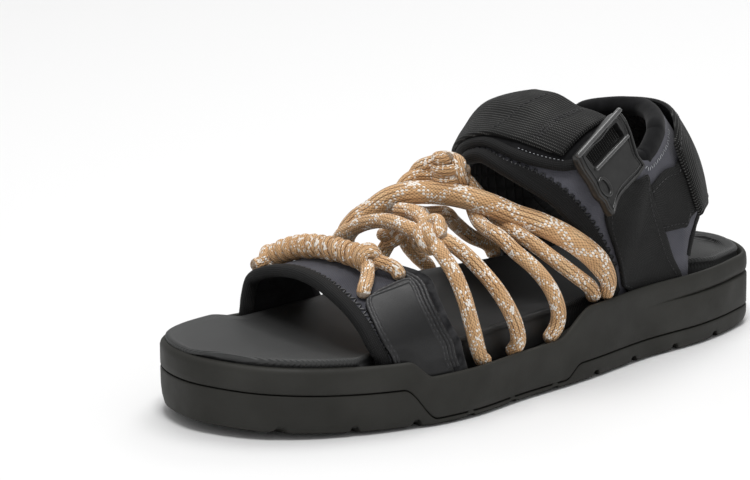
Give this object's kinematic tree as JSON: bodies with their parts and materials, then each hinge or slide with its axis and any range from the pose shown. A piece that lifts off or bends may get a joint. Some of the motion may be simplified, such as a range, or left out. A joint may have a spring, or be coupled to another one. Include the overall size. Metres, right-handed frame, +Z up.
{
  "type": "beach sandal",
  "caption": "Left cupped-sole sandal with a padded toe strap, a crossing rope lacing, a padded ankle strap with webbing and a slotted side buckle.",
  "frame": {"origin": "on the ground, under the middle of the sole's box", "axes": "+X towards the toe, +Y towards the outer (lateral) side, +Z up"},
  "size_m": [0.292, 0.1092, 0.1099],
  "materials": {
    "outsole_rubber": "matt",
    "midsole_foam": "matt foam",
    "footbed_foam": "matt foam",
    "neoprene": "fine knit",
    "leather": "smooth",
    "suede": "napped",
    "webbing": "ribbed weave",
    "lining": "quilted",
    "rope": "braided",
    "rope_fleck": "braided",
    "thread": "matt",
    "dark_thread": "matt",
    "buckle_plastic": "gloss"
  },
  "bodies": {
    "root": {"outsole": "outsole_rubber", "midsole": "midsole_foam", "footbed": "footbed_foam", "toe_strap": "neoprene", "toe_panel_lateral": "leather", "toe_panel_medial": "leather", "toe_wrap": "rope", "ankle_strap": "neoprene", "instep_flap": "lining", "instep_webbing": "webbing", "side_webbing": "webbing", "heel_webbing": "webbing", "heel_flap": "webbing", "buckle": "buckle_plastic", "front_lacing": "rope", "rear_lacing": "rope"}
  },
  "joints": []
}
